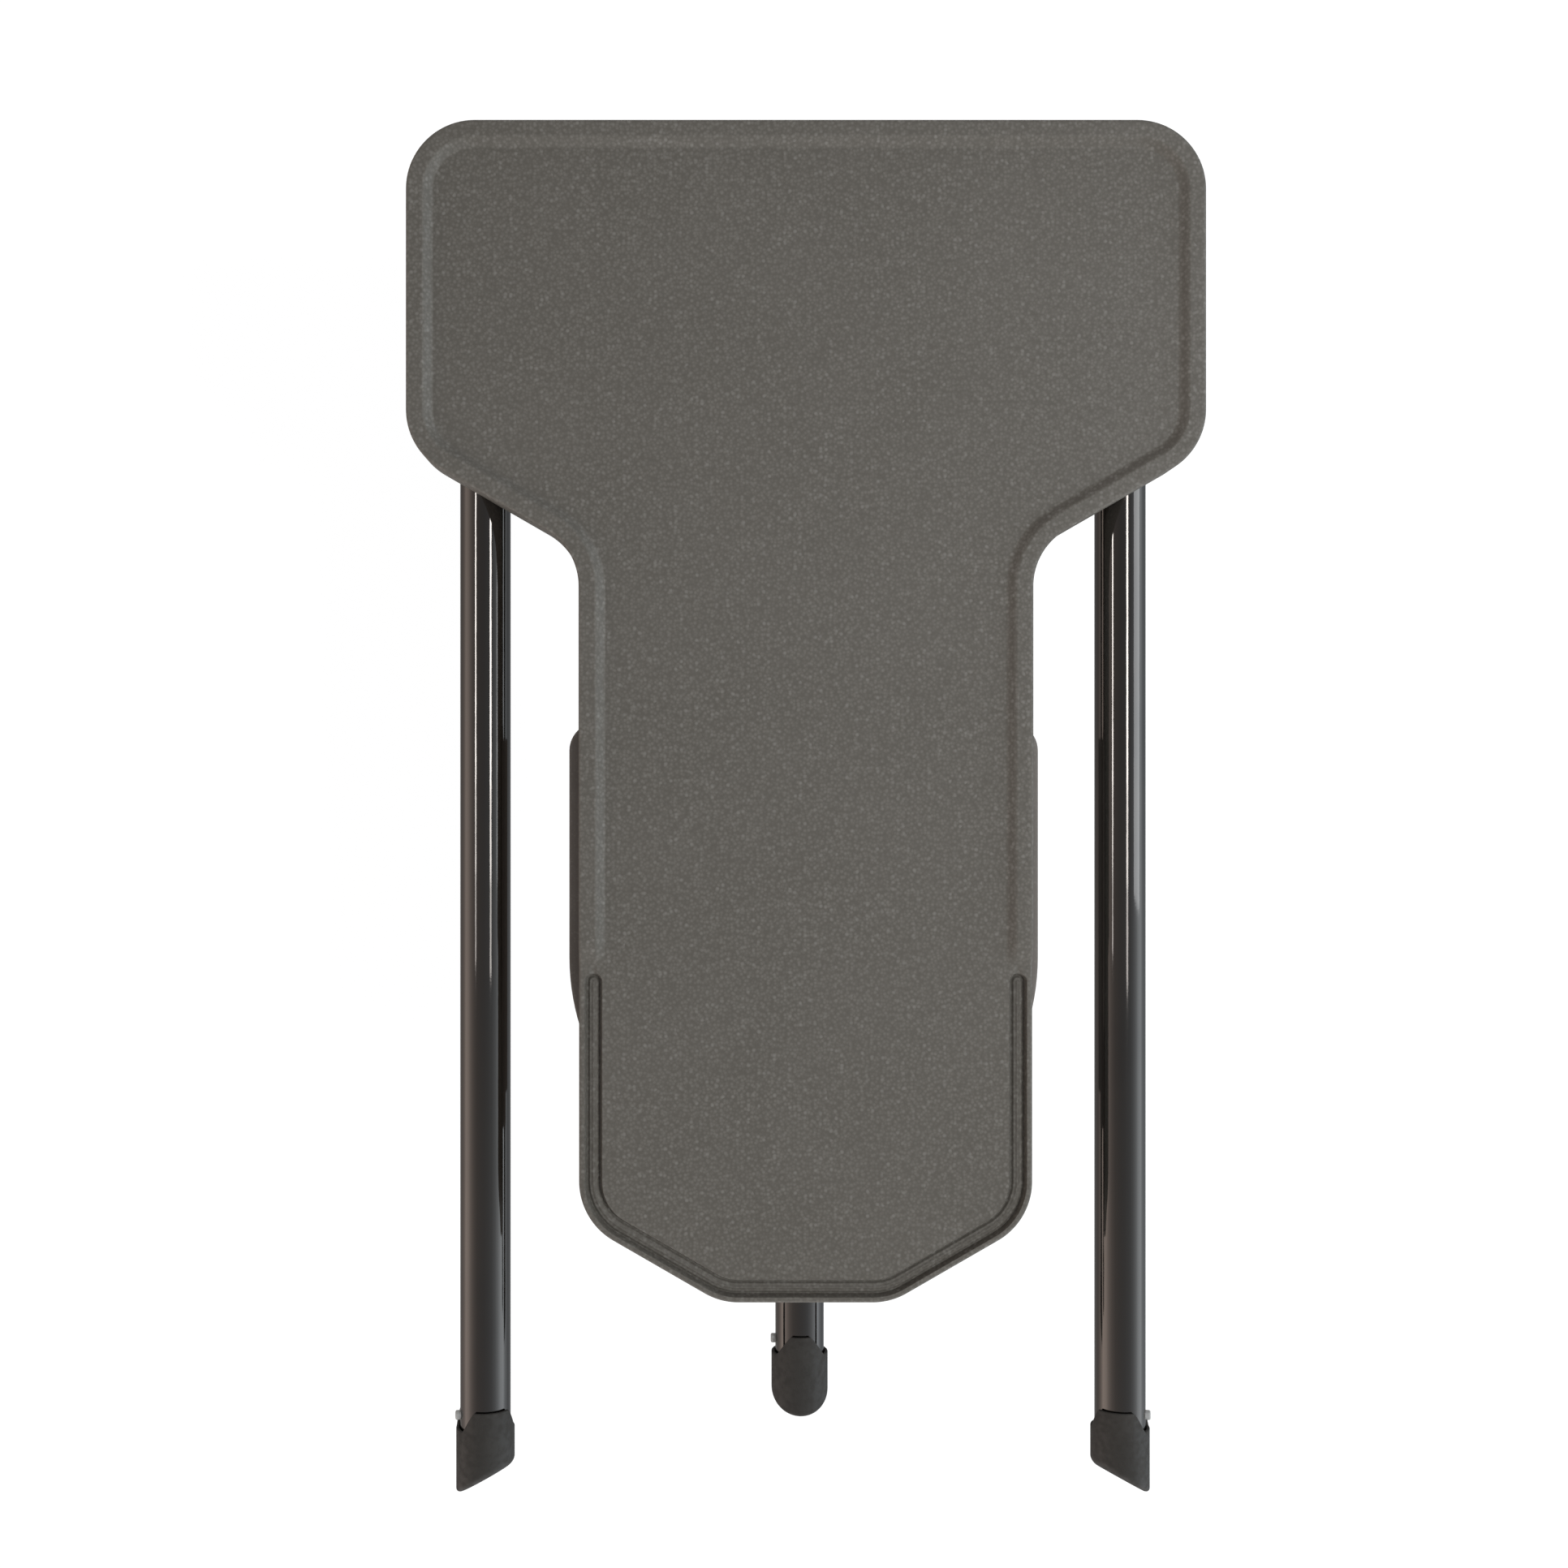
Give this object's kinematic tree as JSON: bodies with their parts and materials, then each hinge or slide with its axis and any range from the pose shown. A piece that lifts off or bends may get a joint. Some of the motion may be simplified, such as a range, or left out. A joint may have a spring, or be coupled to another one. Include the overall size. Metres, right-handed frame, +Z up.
{
  "type": "folding tripod shower stool",
  "caption": "Fold-flat bathroom stool: T-shaped moulded seat on a tripod of swing-out tubular legs with rubber feet, shown folded.",
  "frame": {"origin": "middle of the folded stool's footprint, on the surface that it lies on", "axes": "+Z up, out of the seat; +Y towards the seat's wide head; +X to the right seen from above with the head at the far end"},
  "size_m": [0.386, 0.6736, 0.0785],
  "materials": {
    "seat_plastic": "warm dark grey moulded plastic with a fine pale fleck and pebbled texture",
    "dark_plastic": "plain dark grey moulded plastic",
    "dark_steel": "satin black coated pressed steel",
    "knuckle_plastic": "satin black glass-filled nylon",
    "dark_chrome": "dark mirror-polished tube",
    "steel": "bright turned stainless steel",
    "black_rubber": "matt black rubber",
    "pale_plastic": "light grey plastic"
  },
  "bodies": {
    "seat": {"seat_shell": "seat_plastic", "leg_cradle": "dark_plastic", "cradle_screw_1": "steel", "cradle_screw_2": "steel", "cradle_screw_3": "steel", "cradle_screw_4": "steel", "left_bracket": "dark_steel", "left_bracket_screw_1": "steel", "left_bracket_screw_2": "steel", "left_bracket_screw_3": "steel", "left_bracket_screw_4": "steel", "left_hinge_pin": "steel", "left_pin_clip": "steel", "left_lock_spring": "steel", "right_bracket": "dark_steel", "right_bracket_screw_1": "steel", "right_bracket_screw_2": "steel", "right_bracket_screw_3": "steel", "right_bracket_screw_4": "steel", "right_hinge_pin": "steel", "right_pin_clip": "steel", "right_lock_spring": "steel", "front_bracket": "dark_steel", "front_bracket_screw_1": "steel", "front_bracket_screw_2": "steel", "front_bracket_screw_3": "steel", "front_bracket_screw_4": "steel", "front_hinge_pin": "steel", "front_pin_clip": "steel", "front_lock_spring": "steel"},
    "left_leg": {"left_knuckle": "knuckle_plastic", "left_tube_rivet": "steel", "left_leg_tube": "dark_chrome", "left_foot_pin": "pale_plastic", "left_foot": "black_rubber"},
    "left_lock": {"left_lock_button": "pale_plastic"},
    "right_leg": {"right_knuckle": "knuckle_plastic", "right_tube_rivet": "steel", "right_leg_tube": "dark_chrome", "right_foot_pin": "pale_plastic", "right_foot": "black_rubber"},
    "right_lock": {"right_lock_button": "pale_plastic"},
    "front_leg": {"front_knuckle": "knuckle_plastic", "front_tube_rivet": "steel", "front_leg_tube": "dark_chrome", "front_foot_pin": "pale_plastic", "front_foot": "black_rubber"},
    "front_lock": {"front_lock_button": "pale_plastic"}
  },
  "joints": [
    {"name": "left_leg_fold", "type": "hinge", "parent": "seat", "child": "left_leg", "pos_m": [-0.1583, 0.2029, 0.0465], "axis": [0.931, 0, -0.3651], "range_deg": [0, 113.02]},
    {"name": "right_leg_fold", "type": "hinge", "parent": "seat", "child": "right_leg", "pos_m": [0.1583, 0.2029, 0.0465], "axis": [0.931, 0, 0.3651], "range_deg": [0, 113.02]},
    {"name": "front_leg_fold", "type": "hinge", "parent": "seat", "child": "front_leg", "pos_m": [0, 0.2083, 0.0145], "axis": [1, 0, 0], "range_deg": [0, 57]},
    {"name": "left_lock_press", "type": "slide", "parent": "seat", "child": "left_lock", "axis": [0, -1, 0], "range_m": [0, 0.003], "stiffness_N_per_m": 400, "springref_m": -0.004, "deforming": ["left_lock_spring"]},
    {"name": "right_lock_press", "type": "slide", "parent": "seat", "child": "right_lock", "axis": [0, -1, 0], "range_m": [0, 0.003], "stiffness_N_per_m": 400, "springref_m": -0.004, "deforming": ["right_lock_spring"]},
    {"name": "front_lock_press", "type": "slide", "parent": "seat", "child": "front_lock", "axis": [0, -1, 0], "range_m": [0, 0.003], "stiffness_N_per_m": 400, "springref_m": -0.004, "deforming": ["front_lock_spring"]}
  ]
}
